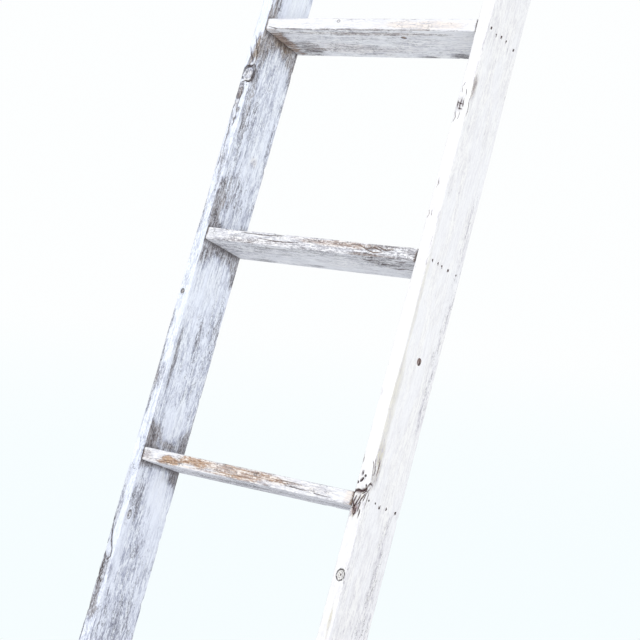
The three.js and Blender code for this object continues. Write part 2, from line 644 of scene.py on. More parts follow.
@dataclass(kw_only=True)
class Board:
    """One board of the ladder, with everything that has happened to it.

    size is its thickness, width and length. The spacings are its grid's: along it, across
    its width and its thickness, and round its knots and cracks. base_bare is how bare each
    side is all over, and seed sets its grain apart from the other boards'.
    """

    name: str
    size: Triple
    place: Matrix
    seed: float
    spacing: float = 4.4 * MM
    width_spacing: float = 1.35 * MM
    thickness_spacing: float = 1.1 * MM
    fine_spacing: float = 0.7 * MM
    edge_radius: float = 1.3 * MM
    edge_wear: float = 0.5
    base_bare: dict[Side, float]
    patches: list[Patch]
    knots: list[Knot]
    cracks: list[Crack]
    drills: list[Drill] = field(default_factory=list)

    def timber(self) -> bpy.types.Mesh:
        """Shapes the board's fine grid, before its wear.

        Returns:
            The board's mesh, in the board's own frame.
        """
        shape = Timber(self.size, self.edge_radius)
        shape.divide(2, self.spacing)
        shape.divide(1, self.width_spacing)
        shape.divide(0, self.thickness_spacing)
        shape.refine(self.detailed_places(), self.fine_spacing)
        self.trim(shape)
        return shape.finished(self.name)

    def detailed_places(self) -> list[Bounds]:
        """Finds where the board's grid has to be fine.

        Returns:
            The bounds round the front and along the board of every knot and crack.
        """
        places = []
        for knot in self.knots:
            if knot.side is not BACK:
                middle = wrapped(knot.side, knot.across * MM, self.size[0])
                wide = 1.2 * knot.wide * MM + MARK_MARGIN
                long = 1.2 * knot.long * MM + MARK_MARGIN
                start = knot.along * MM
                places.append((middle - wide, middle + wide, start - long, start + long))
        for crack in self.cracks:
            turns = [wrapped(crack.side, a * MM, self.size[0]) for a, _ in crack.points]
            rises = [z * MM for _, z in crack.points]
            places.append((
                min(turns) - MARK_MARGIN, max(turns) + MARK_MARGIN,
                min(rises) - MARK_MARGIN, max(rises) + MARK_MARGIN,
            ))
        return places

    def trim(self, shape: Timber) -> None:
        """Cuts the board's ends, where they aren't square."""

    def wear(self, surface: Surface) -> None:
        """Adds up everything that has happened to the board's faces.

        Args:
            surface: The board's points, which take the wear.
        """
        broad = noise_at(surface.points, (16, 16, 4.5), self.seed + 2.2)
        for side, amount in self.base_bare.items():
            surface.lay(surface.facing(side) * amount * (1.0 + 0.9 * broad), bare=1.0)
        for knot in self.knots:
            surface.add_knot(knot)
        for patch in self.patches:
            surface.add_patch(patch)
        for crack in self.cracks:
            surface.add_crack(crack)
        surface.add_edge_wear(self.edge_wear)
        surface.add_grain_relief()

    def hold_holes(self, surface: Surface) -> None:
        """Keeps the inside of every hole where it was cut."""
        for drill in self.drills:
            surface.sunk[self.in_hole(surface.points, drill)] = 0.0

    @staticmethod
    def in_hole(points: np.ndarray, drill: Drill) -> np.ndarray:
        """Finds out which points lie in or on the wall of one hole.

        Args:
            points: One row a point, in the board's own frame.
            drill: The hole.

        Returns:
            True or False for each point.
        """
        middle = (drill.start + drill.end) / 2
        low, high = sorted((drill.start.x, drill.end.x))
        x, y, z = points.T
        near = np.hypot(y - middle.y, z - middle.z) < drill.radius + HOLE_SLACK
        return near & (x > low - HOLE_SLACK) & (x < high + HOLE_SLACK)

    def corner_wear(self, data: bpy.types.Mesh, surface: Surface) -> np.ndarray:
        """How bare, brown and dark every face corner is, with every hole lined in brown.

        Args:
            data: The board's mesh, in the board's own frame.
            surface: What its wear adds up to.

        Returns:
            One row a corner.
        """
        wear = np.stack((surface.bare, surface.warm, surface.grime_and_shade), axis=1)
        corners = np.zeros(len(data.loops), np.int32)
        data.loops.foreach_get("vertex_index", corners)
        counts = np.zeros(len(data.polygons), np.int32)
        data.polygons.foreach_get("loop_total", counts)
        middles = read_vectors(data.polygons, "center")
        rows = wear[corners]
        for drill in self.drills:
            lined = np.repeat(self.in_hole(middles, drill), counts)
            rows[lined] = (1.0, drill.warm, drill.grime_and_shade)
        return rows

    def build(self, slot: str, finish: bpy.types.Material) -> bpy.types.Object:
        """Makes the board, wears it, dresses it and lays it in the ladder.

        Args:
            slot: The record's material slot, which is not used.
            finish: Its material.

        Returns:
            The board's object.
        """
        data = self.timber()
        if self.drills:
            data = cut_holes(data, self.drills)
        points = read_vectors(data.vertices, "co")
        surface = Surface(points, read_vectors(data.vertices, "normal"), self.size, self.seed)
        self.wear(surface)
        self.hold_holes(surface)
        write_vectors(data, "wear", "CORNER", self.corner_wear(data, surface))
        write_vectors(data, "knot", "POINT", surface.knot)
        write_vectors(data, "grain", "POINT", surface.grain + np.array((0.0, 0.0, self.seed)))
        moved = points - surface.normals * surface.sunk[:, None]
        data.vertices.foreach_set("co", moved.astype(np.float32).ravel())
        data.set_sharp_from_angle(angle=SHARP_ANGLE)
        data.transform(self.place)
        data.materials.clear()
        data.materials.append(finish)
        data.name = f"worn_{self.name}"
        data.update()
        made = shown_object(f"worn_{self.name}", data)
        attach(made, "root")
        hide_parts(self.name)
        triangles = sum(len(p.vertices) - 2 for p in data.polygons)
        LOG.info("%s: %d triangles", made.name, triangles)
        return made


def read_vectors(items: bpy.types.bpy_prop_collection, kind: str) -> np.ndarray:
    """One row of x, y and z for each of a mesh's items."""
    flat = np.zeros(len(items) * 3, np.float32)
    items.foreach_get(kind, flat)
    return flat.reshape(-1, 3).astype(float)


def write_vectors(data: bpy.types.Mesh, name: str, domain: str, rows: np.ndarray) -> None:
    """Stores one vector a vertex or a face corner, for the board's finish to read."""
    layer = data.attributes.new(name, "FLOAT_VECTOR", domain)
    layer.data.foreach_set("vector", rows.astype(np.float32).ravel())


@dataclass(kw_only=True)
class Rail(Board):
    """A rail: level at its foot and head, and cut plumb where it meets the wall.

    inner is the side that faces the rungs.
    """

    pose: Pose
    inner: Side
    joints: list[JointWear]

    def __post_init__(self) -> None:
        """Measures every mark from the rail's foot instead of from its middle rung."""
        up = self.pose.up
        self.patches = [replace(p, along=up(p.along)) for p in self.patches]
        self.knots = [replace(k, along=up(k.along)) for k in self.knots]
        self.cracks = [
            replace(c, points=tuple((across, up(along)) for across, along in c.points))
            for c in self.cracks
        ]

    def trim(self, shape: Timber) -> None:
        """Slants both ends to the floor and cuts the head's wall face."""
        shape.shear_ends(math.tan(self.pose.lean))
        outward = Vector((0.0, math.cos(self.pose.lean), math.sin(self.pose.lean)))
        shape.cut_flat(outward * self.pose.wall_depth, outward)

    def wear(self, surface: Surface) -> None:
        """Adds the wear round the joints and at both ends to what any board has."""
        for joint in self.joints:
            self.wear_joint(surface, joint)
        self.wear_ends(surface)
        super().wear(surface)

    def wear_joint(self, surface: Surface, joint: JointWear) -> None:
        """Bares the inner face above and below one rung, with dirt and painted shade by it.

        Args:
            surface: The rail's points, which take the wear.
            joint: How far the paint has gone round that rung.
        """
        rise = surface.points[:, 2] - self.pose.rung_heights[joint.rung - 1]
        clear = np.abs(rise) / MM - self.size[0] / MM / 2
        depth = surface.points[:, 1] / self.size[1]
        above, below = (
            np.interp(depth, JOINT_STOPS, (front, middle, middle, back))
            for front, middle, back in (joint.above, joint.below)
        )
        reach = np.maximum(clear, 0.0) / np.where(rise > 0, above, below) + 0.75 * surface.ragged
        inner = surface.facing(self.inner)
        share = smooth(1.2, 0.55, reach) * inner
        surface.lay(share, joint.bare, joint.warm)
        # Darkens the inner face within 7 mm of the rung: partly dirt, partly painted shade in the
        # corner where the rung meets the rail.
        close = smooth(7.0, 0.0, clear) * inner
        surface.lay(joint.grime_and_shade * share + 0.5 * close, grime_and_shade=1.0)

    def wear_ends(self, surface: Surface) -> None:
        """Scuffs the foot and the head.

        Args:
            surface: The rail's points, which take the wear.
        """
        slope = math.tan(self.pose.lean)
        level = (surface.points[:, 2] - slope * surface.points[:, 1]) / MM
        foot = smooth(34.0, 3.0, level + 16.0 * surface.ragged)
        head = smooth(26.0, 3.0, self.pose.front_length / MM - level + 12.0 * surface.ragged)
        surface.lay(0.8 * foot + 0.6 * head, bare=1.0)
        surface.lay(foot, grime_and_shade=0.35)


@dataclass(frozen=True)
class Tones:
    """The colours of one whitewashed timber, as linear red, green and blue."""

    paint: Triple
    cool_paint: Triple
    thin_paint: Triple
    stained_paint: Triple
    grey_light: Triple
    grey_dark: Triple
    brown_light: Triple
    brown_dark: Triple
    grime_and_shade: Triple


class Nodes:
    """Short forms for laying out one material's nodes."""

    def __init__(self, name: str) -> None:
        """Starts a material with only its output.

        Args:
            name: What to call it.
        """
        self.material = bpy.data.materials.new(name)
        self.material.use_nodes = True
        self.tree = self.material.node_tree
        self.tree.nodes.clear()
        self.output = self.tree.nodes.new("ShaderNodeOutputMaterial")

    def add(self, kind: str, inputs: dict[str | int, object], **settings: object) -> bpy.types.Node:
        """Adds a node.

        Args:
            kind: Blender's name for the node, without ShaderNode.
            inputs: A value or another node's socket for each input.
            **settings: The node's own properties.

        Returns:
            The node.
        """
        node = self.tree.nodes.new(f"ShaderNode{kind}")
        for name, value in settings.items():
            setattr(node, name, value)
        for name, value in inputs.items():
            if isinstance(value, Socket):
                self.tree.links.new(value, node.inputs[name])
            else:
                node.inputs[name].default_value = value
        return node

    def math(self, operation: str, first: object, second: object = 0.0,
             third: object = 0.0) -> Socket:
        """The result of one sum."""
        inputs = {0: first, 1: second, 2: third}
        return self.add("Math", inputs, operation=operation).outputs[0]

    def times(self, first: object, second: object) -> Socket:
        """One value times another."""
        return self.math("MULTIPLY", first, second)

    def line(self, value: object, slope: object, start: object) -> Socket:
        """A value times a slope, added to a start."""
        return self.math("MULTIPLY_ADD", value, slope, start)

    def vector(self, operation: str, first: object, second: object = (0.0, 0.0, 0.0)) -> Socket:
        """The result of one sum on vectors, which is one number for a distance or a length."""
        node = self.add("VectorMath", {0: first, 1: second}, operation=operation)
        return node.outputs["Value" if operation in ("DISTANCE", "LENGTH") else "Vector"]

    def total(self, *terms: tuple[float, object]) -> Socket:
        """The sum of several values, each times its share."""
        result = 0.0
        for share, value in terms:
            result = self.line(value, share, result)
        return result

    def ramp(self, value: object, low: float, high: float) -> Socket:
        """A soft step of value from 0 at low to 1 at high."""
        inputs = {"Value": value, "From Min": low, "From Max": high}
        return self.add("MapRange", inputs, interpolation_type="SMOOTHSTEP").outputs["Result"]

    def mix(self, share: object, first: object, second: object) -> Socket:
        """Mixes two colours.

        Args:
            share: How much of the second shows, from 0 to 1.
            first: The first colour, as three numbers or a socket.
            second: The second colour.

        Returns:
            The mixed colour.
        """
        node = self.add("Mix", {0: share}, data_type="RGBA")
        for index, value in ((6, first), (7, second)):
            if isinstance(value, Socket):
                self.tree.links.new(value, node.inputs[index])
            else:
                node.inputs[index].default_value = (*value, 1.0)
        return node.outputs[2]

    def noise(self, place: object, scale: Triple, detail: float, rough: float) -> Socket:
        """Lays out noise from 0 to 1.

        Args:
            place: Where the point is.
            scale: Waves a metre along each axis.
            detail: How many finer layers it has.
            rough: How strong they are.

        Returns:
            The noise.
        """
        spread = self.vector("MULTIPLY", place, scale)
        inputs = {"Vector": spread, "Scale": 1.0, "Detail": detail, "Roughness": rough}
        return self.add("TexNoise", inputs).outputs[0]

    def attribute(self, name: str) -> Socket:
        """A vector that the piece's mesh carries."""
        return self.add("Attribute", {}, attribute_name=name).outputs["Vector"]

    def parts(self, vector: object) -> list[Socket]:
        """A vector's three numbers."""
        return list(self.add("SeparateXYZ", {0: vector}).outputs)

    def finish(self, shader: bpy.types.Node) -> bpy.types.Material:
        """Joins a shader to the output and hands over the material."""
        self.tree.links.new(shader.outputs[0], self.output.inputs["Surface"])
        return self.material


class Whitewash(Nodes):
    """Worn whitewash over weathered timber, with its grain, flakes, knots, soiling and painted shade.

    PITH is where the tree's middle ran in a board's own frame, RING_WIDTH how far apart
    its year rings are, and RING_DRIFT how far they wander.
    """

    PITH = (-0.036, 0.031, 0.0)
    RING_WIDTH = 3.1 * MM
    RING_DRIFT = 16 * MM
    BUMP_DEPTH = 0.7 * MM

    def __init__(self, name: str, tones: Tones) -> None:
        """Reads a board's wear, and lays out the patterns along its grain, each 0 to 1.

        Args:
            name: What to call the material.
            tones: Its colours.
        """
        super().__init__(name)
        self.tones = tones
        self.bare, self.warm, self.grime_and_shade = self.parts(self.attribute("wear"))
        self.grain = self.attribute("grain")
        self.streak = self.noise(self.grain, (300, 300, 38), 5.0, 0.62)
        self.fleck = self.noise(self.grain, (520, 520, 190), 4.0, 0.68)
        self.fibre = self.noise(self.grain, (1150, 1150, 60), 3.0, 0.6)
        self.blotch = self.noise(self.grain, (42, 42, 13), 3.0, 0.6)
        self.crumb = self.noise(self.grain, (560, 560, 230), 3.0, 0.6)
        across = self.vector("MULTIPLY", self.grain, (1, 1, 0))
        bent = self.line(self.blotch, self.RING_DRIFT, self.vector("DISTANCE", across, self.PITH))
        wave = self.math("SINE", self.times(bent, math.tau / self.RING_WIDTH))
        self.ring = self.line(wave, 0.5, 0.5)

    def laid(self) -> bpy.types.Material:
        """Lays the finish over the patterns.

        Returns:
            The material, for boards that carry the three attributes.
        """
        above = self.height_left()
        cover = self.ramp(above, -0.02, 0.02)
        colour = self.mix(cover, self.timber(), self.painted())
        split = self.times(self.crackle(), self.ramp(self.bare, 0.1, 0.75))
        colour = self.mix(self.times(split, 0.75), colour, self.tones.grey_dark)
        colour = self.ringed(colour)
        # Darkens along the grime channel: dirt, and painted shade where rungs meet rails.
        dirt_and_shade = self.times(self.grime_and_shade, self.ramp(self.fleck, 0.28, 0.5))
        relief = self.total(
            (0.5, self.streak), (0.25, self.fleck), (0.3, self.fibre), (0.12, self.ring),
            (0.35, self.ramp(above, -0.012, 0.012)), (-0.3, split),
        )
        bump = self.add("Bump", {"Height": relief, "Strength": 0.6, "Distance": self.BUMP_DEPTH})
        return self.finish(self.add("BsdfPrincipled", {
            "Base Color": self.mix(dirt_and_shade, colour, self.tones.grime_and_shade),
            "Roughness": self.line(cover, -0.22, 0.9),
            "Normal": bump.outputs[0],
            "Specular IOR Level": 0.3,
        }))

    def crackle(self) -> Socket:
        """The fine cracks that old paint breaks into, here and there.

        Returns:
            1 along the cracks and 0 between them.
        """
        bend = self.add("TexNoise", {"Vector": self.grain, "Scale": 190.0, "Detail": 2.0})
        bend = self.vector("MULTIPLY", bend.outputs[1], (0.007, 0.007, 0.016))
        flakes = self.vector("MULTIPLY", self.vector("ADD", self.grain, bend), (230, 230, 85))
        edge = self.add("TexVoronoi", {"Vector": flakes, "Scale": 1.0}, feature="DISTANCE_TO_EDGE")
        where = self.ramp(self.noise(self.grain, (120, 120, 45), 2.0, 0.5), 0.5, 0.58)
        return self.times(self.ramp(edge.outputs["Distance"], 0.075, 0.02), where)

    def height_left(self) -> Socket:
        """How far the paint stands above flaking off, which is below 0 where it has gone."""
        shares = ((0.3, self.streak), (0.4, self.fleck), (0.14, self.fibre), (0.16, self.blotch))
        strain = self.line(self.math("POWER", self.bare, 1.6), 0.195, 0.38)
        return self.math("SUBTRACT", self.total(*shares), strain)

    def timber(self) -> Socket:
        """The bare timber, with lines along it and paint left in its pores.

        Returns:
            A colour, grey or brown.
        """
        shares = ((0.4, self.streak), (0.22, self.fibre), (0.26, self.fleck), (0.12, self.ring))
        share = self.ramp(self.total(*shares), 0.36, 0.62)
        grey = self.mix(share, self.tones.grey_dark, self.tones.grey_light)
        brown = self.mix(share, self.tones.brown_dark, self.tones.brown_light)
        drift = self.times(self.ramp(self.blotch, 0.5, 0.68), 0.25)
        timber = self.mix(self.math("MAXIMUM", self.warm, drift), grey, brown)
        film = self.times(self.ramp(self.bare, 1.0, 0.45), 0.8)
        timber = self.mix(film, timber, self.tones.thin_paint)
        left = self.line(self.warm, -0.45, 0.65)
        crumbs = self.times(self.ramp(self.crumb, 0.53, 0.59), left)
        return self.mix(crumbs, timber, self.tones.cool_paint)

    def painted(self) -> Socket:
        """The paint, thinner along some fibres and stained by brown timber.

        Returns:
            A colour.
        """
        line = self.total((0.35, self.streak), (0.35, self.fleck), (0.3, self.fibre))
        thin = self.line(self.ramp(line, 0.54, 0.455), 0.9, 0.1)
        thin = self.times(thin, self.line(self.ramp(self.blotch, 0.62, 0.4), 0.5, 0.5))
        thin = self.times(thin, self.line(self.bare, 1.8, 0.2))
        thin = self.line(self.ramp(self.ring, 0.6, 1.0), 0.07, thin)
        cool = self.times(self.ramp(self.blotch, 0.38, 0.62), 0.8)
        paint = self.mix(cool, self.tones.paint, self.tones.cool_paint)
        paint = self.mix(self.times(self.warm, 0.75), paint, self.tones.stained_paint)
        return self.mix(self.math("MINIMUM", thin, 1.0), paint, self.tones.thin_paint)

    def ringed(self, colour: Socket) -> Socket:
        """Draws each knot's rim and inner ring.

        Args:
            colour: The colour under them.

        Returns:
            The colour with its rings.
        """
        along, across, near = self.parts(self.attribute("knot"))
        flat = self.add("CombineXYZ", {0: along, 1: across}).outputs[0]
        rough = self.noise(flat, (1.6, 1.6, 1.0), 2.0, 0.6)
        reach = self.line(rough, 0.5, self.math("SUBTRACT", self.vector("LENGTH", flat), 0.25))
        away = self.math("ABSOLUTE", self.math("SUBTRACT", reach, 1.0))
        rim = self.times(self.ramp(away, 0.24, 0.08), self.ramp(rough, 0.32, 0.45))
        inner = self.math("ABSOLUTE", self.math("SUBTRACT", reach, 0.55))
        inner = self.times(self.ramp(inner, 0.16, 0.03), self.ramp(rough, 0.6, 0.45))
        drawn = self.math("MAXIMUM", rim, self.times(inner, 0.7))
        return self.mix(self.times(drawn, near), colour, self.tones.grey_dark)


@dataclass(frozen=True)
class RustedSteel:
    """Dull brown-black steel with rust in patches."""

    name: str
    dark: Triple = (0.09, 0.08, 0.08)
    rust: Triple = (0.2, 0.1, 0.06)
    bump_depth: float = 0.1 * MM

    def material(self) -> bpy.types.Material:
        """Lays the finish out as nodes.

        Returns:
            The material.
        """
        make = Nodes(self.name)
        place = make.add("TexCoord", {}).outputs["Object"]
        rust = make.ramp(make.noise(place, (900, 900, 900), 4.0, 0.6), 0.42, 0.6)
        bump = make.add("Bump", {"Height": rust, "Strength": 0.4, "Distance": self.bump_depth})
        shader = make.add("BsdfPrincipled", {
            "Base Color": make.mix(rust, self.dark, self.rust),
            "Roughness": make.line(rust, 0.3, 0.55),
            "Metallic": 0.6,
            "Normal": bump.outputs[0],
        })
        return make.finish(shader)


@dataclass
class Brads:
    """The brads of every joint, each in the place of its CAD node."""

    pose: Pose
    finish: bpy.types.Material
    head_radius: float = 1.25 * MM
    head_thickness: float = 1.0 * MM
    shank_radius: float = 0.8 * MM
    point_length: float = 3.0 * MM
    hole_radius: float = 1.4 * MM
    steps: int = 14

    def names(self, word: str) -> list[str]:
        """The CAD nodes of one rail's brads."""
        return sorted(n for n in frame["nodes"] if n.startswith(f"brad_{word}_"))

    def drills(self, word: str, place: Matrix) -> list[Drill]:
        """The holes that one rail's brads go through.

        Args:
            word: The rail, left or right.
            place: From the rail's own frame to the row frame.

        Returns:
            The holes, in the rail's own frame, each a little longer than the rail is thick.
        """
        holes = []
        back = place.inverted()
        past = 2.0 * MM
        for name in self.names(word):
            low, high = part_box(name)
            middle = back @ ((low + high) / 2)
            start = Vector((-past, middle.y, middle.z))
            end = Vector((self.pose.thickness + past, middle.y, middle.z))
            holes.append(Drill(start, end, self.hole_radius))
        return holes

    def brad(self, name: str, side: int) -> bpy.types.Object:
        """One brad, turned from its profile.

        Args:
            name: Its CAD node.
            side: The way its head looks: -1 to the left, 1 to the right.

        Returns:
            The brad's object.
        """
        low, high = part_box(name)
        length = high.x - low.x
        head = Vector((high.x if side > 0 else low.x, *((low + high) / 2)[1:]))
        profile = (
            (0.0, 0.0),
            (0.6 * self.head_radius, 0.0),
            (self.head_radius, -0.15 * self.head_thickness),
            (self.head_radius, -self.head_thickness),
            (self.shank_radius, -1.4 * self.head_thickness),
            (self.shank_radius, self.point_length - length),
            (0.0, -length),
        )
        shape = bmesh.new()
        points = [shape.verts.new((r, 0.0, z)) for r, z in profile]
        edges = [shape.edges.new(pair) for pair in zip(points, points[1:])]
        bmesh.ops.spin(
            shape, geom=[*points, *edges], cent=(0, 0, 0), axis=(0, 0, 1), angle=math.tau,
            steps=self.steps, use_merge=True,
        )
        bmesh.ops.remove_doubles(shape, verts=shape.verts, dist=MERGE_DISTANCE)
        bmesh.ops.recalc_face_normals(shape, faces=shape.faces)
        turn = Matrix.Rotation(side * math.pi / 2, 4, "Y")
        bmesh.ops.transform(shape, matrix=Matrix.Translation(head) @ turn, verts=shape.verts)
        data = mesh_of(f"rusted_{name}", shape)
        data.materials.append(self.finish)
        made = shown_object(f"rusted_{name}", data)
        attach(made, "root")
        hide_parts(name)
        return made

    def build(self) -> int:
        """Makes every brad and returns how many there are."""
        made = [self.brad(n, -1) for n in self.names("left")]
        made += [self.brad(n, 1) for n in self.names("right")]
        return len(made)


# The rails' marks, at their heights from the middle rung's centre. HIGH is the left rail's
# inner face and the right rail's outer face. Kept paint covers only the patches before it.
LEFT_JOINTS = [
    JointWear(1, (40, 12, 30), (50, 14, 30)),
    JointWear(2, (34, 4, 22), (12, 6, 32), bare=0.88),
    JointWear(3, (44, 10, 20), (44, 18, 44), bare=0.85),
    JointWear(4, (34, 3, 4), (60, 22, 46), warm=0.3, grime_and_shade=0.1, bare=0.88),
    JointWear(5, (30, 10, 40), (60, 14, 40)),
]
RIGHT_JOINTS = [
    JointWear(1, (30, 10, 30), (40, 12, 30)),
    JointWear(2, (24, 8, 30), (20, 8, 34)),
    JointWear(3, (30, 10, 24), (34, 12, 40)),
    JointWear(4, (34, 8, 20), (44, 14, 34)),
    JointWear(5, (30, 10, 36), (40, 12, 30)),
]
LEFT_PATCHES = [
    *patches_on(
        HIGH,
        (365, 58, 40, 34, -0.95), (353, 15, 26, 12, 0.82, 0.1, 0.15), (356, 87, 16, 6, 0.75, 0.0, 0.2),
        (309, 47, 9, 28, 0.9, 0.9, 0.3), (270, 12, 30, 16, 0.85, 0.0, 0.1),
        (240, 5, 16, 8, 0.8, 0.1, 0.4), (200, 8, 60, 12, 0.6), (165, 14, 80, 9, 0.5),
        (190, 86, 110, 7, 0.6), (180, 24, 80, 13, 0.46), (215, 46, 70, 26, 0.3),
        (127, 58, 8, 10, 0.6, 0.6), (62, 45, 40, 50, 0.6), (52, 8, 46, 14, 0.8, 0.0, 0.1),
        (24, 76, 14, 17, 0.85, 0.1, 0.3), (32, 46, 20, 20, -0.4), (-70, 38, 40, 30, -0.6),
        (-135, 46, 46, 9, 0.6), (-125, 82, 40, 9, 0.65), (-190, 10, 50, 5, 0.75, 0.0, 0.3),
        (-240, 89, 70, 4, 0.7), (-262, 46, 30, 22, -0.6), (-289, 13, 16, 18, 0.85, 0.1, 0.2),
        (-284, 80, 18, 12, 0.85, 0.1, 0.2), (-298, 48, 7, 20, 0.7, 0.5, 0.2),
        (-340, 76, 11, 18, 0.9, 0.1, 0.4), (-372, 56, 44, 28, -0.95),
        (-385, 16, 46, 14, 0.66, 0.0, 0.05), (-420, 40, 40, 20, 0.45), (-490, 42, 60, 45, 0.3),
        (-560, 45, 50, 50, 0.38),
    ),
    *patches_on(
        FRONT,
        (282, 14, 24, 8, 0.9, 0.8, 0.2, 0.8), (262, 9, 12, 5, 0.8, 0.5, 0.3, 0.4),
        (240, 12, 12, 10, 0.4, 0.6), (213, 6, 14, 7, 0.6, 0.5, 0.1, 0.3),
        (196, 4, 10, 4, 0.5, 0.5, 0.1, 0.2), (186, 11, 6, 4, 0.8, 0.3, 0.4),
        (171, 9, 5, 4, 0.85, 0.2, 0.5), (160, 6, 60, 3, 0.5, 0.2, 0.1, 0.3),
        (90, 11, 50, 4, 0.6, 0.0, 0.15), (50, 17, 54, 2.5, 0.7, 0.0, 0.3),
        (-210, 9, 18, 8, 0.6, 0.1, 0.1), (-330, 13, 60, 7, 0.5), (-150, 2, 40, 3, 0.6, 0.0, 0.15),
        (-222, 3, 60, 3, 0.62, 0.1, 0.2), (30, 2, 60, 2, 0.35, 0.0, 0.1),
        (-400, 4, 50, 5, 0.6, 0.0, 0.2, 0.3), (-440, -1, 30, 3, 0.7, 0.0, 0.3, 1.4),
        (-480, 8, 36, 8, 0.75, 0.1, 0.25, 0.5), (-515, -1, 34, 3, 0.7, 0.0, 0.2, 1.6),
        (-532, 9, 20, 11, 0.85, 0.1, 0.1, 0.4),
    ),
]
RIGHT_PATCHES = [
    *patches_on(
        HIGH,
        (-200, 7, 80, 9, 0.15, 0.5), (-70, 5, 110, 4, 0.1, 0.4), (-60, 80, 160, 10, 0.32),
        (-150, 78, 60, 4, 0.18), (-256, 8, 16, 8, 0.28, 1.0), (-272, 13, 18, 4, 0.5, 0.6, 0.05),
        (232, 5, 17, 7, 0.75, 0.4, 0.15), (-290, 8, 16, 7, 0.5, 0.3, 0.1, 0.3),
        (-430, 68, 110, 20, 0.38),
    ),
    *patches_on(
        FRONT,
        (206, 6, 13, 7, 0.5, 0.1, 0.1), (98, 4, 9, 5, 0.5), (-322, 8, 17, 9, 0.3, 0.3, 0.0, 1.0),
        (-332, 6, 8, 4.5, 0.7, 0.8, 0.0, 0.7), (-470, 13, 24, 3, 0.3, 0.8),
    ),
]
LEFT_KNOTS = [
    Knot(FRONT, 240, 11.5, 12, 10, ring=0.9, depth=0.9, bare=0.2),
    Knot(FRONT, 214, 5, 11, 6, ring=0.6, depth=0.5, bare=0.2),
    Knot(FRONT, -87, 6, 3.5, 3, ring=1.0, depth=1.0, bare=0.9, warm=0.5),
    Knot(HIGH, -402, 9, 6, 4, ring=0.7, depth=0.5, bare=0.6),
    Knot(HIGH, 560, 58, 11, 8, ring=0.8),
    Knot(LOW, 130, 33, 14, 9, ring=0.8),
    Knot(LOW, -520, 60, 10, 7, ring=0.9),
    Knot(BACK, -240, 8, 10, 6, ring=0.9),
]
RIGHT_KNOTS = [
    Knot(FRONT, -412, 11, 7, 5.6, ring=1.0, depth=0.5, bare=0.1),
    Knot(HIGH, 520, 30, 12, 8, ring=0.5, bare=0.15),
    Knot(LOW, -60, 52, 13, 9, ring=0.8),
    Knot(LOW, 460, 30, 9, 6, ring=0.9),
    Knot(BACK, 330, 10, 12, 7, ring=0.9),
]
# The tear in the right rail's front at the second rung.
TORN_LIP = ((-2, -309), (4, -306), (9, -307), (14, -304), (19, -299), (23, -295), (27, -297))
TORN_PITS = (
    ((-3, -281), (0, -282)), ((4, -283), (6, -285)), ((9, -286), (10, -289)),
    ((8, -290), (4, -296)), ((0, -297), (3, -297)), ((13, -299), (15, -299)),
)
TORN_SPLINTERS = (
    ((1, -309), (-1, -318), (1, -328)), ((24, -301), (17, -311), (15, -319)),
    ((23, -306), (23, -317), (21, -328)), ((10, -311), (7, -320), (3, -329), (5, -336)),
    ((12, -320), (11, -327), (11, -333)), ((14, -329), (14, -339)),
    ((4, -313), (2, -322), (4, -331)), ((16, -309), (12, -316), (9, -324)),
    ((6, -328), (7, -334), (5, -339)), ((19, -304), (15, -307), (11, -310)),
)
TORN_OUTLINES = (
    ((0, -260), (1, -269), (-2, -279)), ((15, -268), (18, -273), (21, -285), (24, -292)),
    ((23, -273), (25, -280), (23, -286)), ((19, -262), (21, -272), (26, -282)),
    ((28, -262), (31, -272), (30, -284)),
)
LEFT_CRACKS = [
    Crack(FRONT, ((5, 300), (10, 287), (16, 272), (19, 258)), 0.8, 2.0),
    Crack(FRONT, ((1, 284), (6, 271), (12, 262), (15, 255)), 0.7, 1.6),
    Crack(FRONT, ((0, 246), (5, 253), (12, 252), (18, 256), (24, 247)), 1.2, 1.8, 0.9, 0.4),
    Crack(FRONT, ((21, 255), (25, 248), (24, 239), (20, 234)), 1.4, 1.6, 0.6, 0.1),
    Crack(FRONT, ((3, 227), (9, 230), (17, 228), (23, 233)), 1.0, 1.4),
    Crack(FRONT, ((0, 222), (0, 212), (2, 202)), 0.8, 1.0, 0.6),
    Crack(FRONT, ((7, 222), (9, 205), (8, 188), (11, 172)), 0.6, 0.8),
    Crack(FRONT, ((0, 202), (3, 194), (1, 185), (3, 176)), 0.7, 0.9, 0.6),
    Crack(FRONT, ((8, 172), (10, 166), (8, 160)), 0.8, 0.9, 0.6),
    *cracks_on(FRONT, (0.6, 0.7, 0.5), ((3, 168), (5, 150), (4, 132)), ((2, 126), (4, 108), (2, 92))),
    Crack(
        FRONT, ((2, -418), (4, -428), (7, -441), (12, -452), (13, -462), (9, -468), (6, -463)),
        1.0, 1.4,
    ),
    Crack(FRONT, ((3, -440), (1, -452), (5, -470), (2, -490)), 0.8, 1.2),
    *cracks_on(
        FRONT, (0.7, 1.0),
        ((7, -476), (4, -500), (7, -522)), ((0, -403), (2, -412), (-1, -420), (1, -430)),
    ),
    Crack(FRONT, ((-1, -449), (2, -456), (0, -462), (-2, -455)), 0.8, 1.2),
    Crack(FRONT, ((5, -466), (2, -473), (4, -480), (8, -477)), 0.7, 1.0),
    Crack(FRONT, ((0, -478), (3, -486), (0, -494), (-2, -487)), 0.8, 1.2),
    Crack(FRONT, ((8, -484), (5, -492), (8, -499), (11, -493)), 0.7, 0.9),
    Crack(FRONT, ((0, -548), (2, -563), (1, -580)), 0.7, 1.0),
    Crack(LOW, ((30, 170), (33, 60), (31, -40)), 0.6, 1.4),
    Crack(HIGH, ((44, 700), (46, 830)), 0.7, 1.8),
]
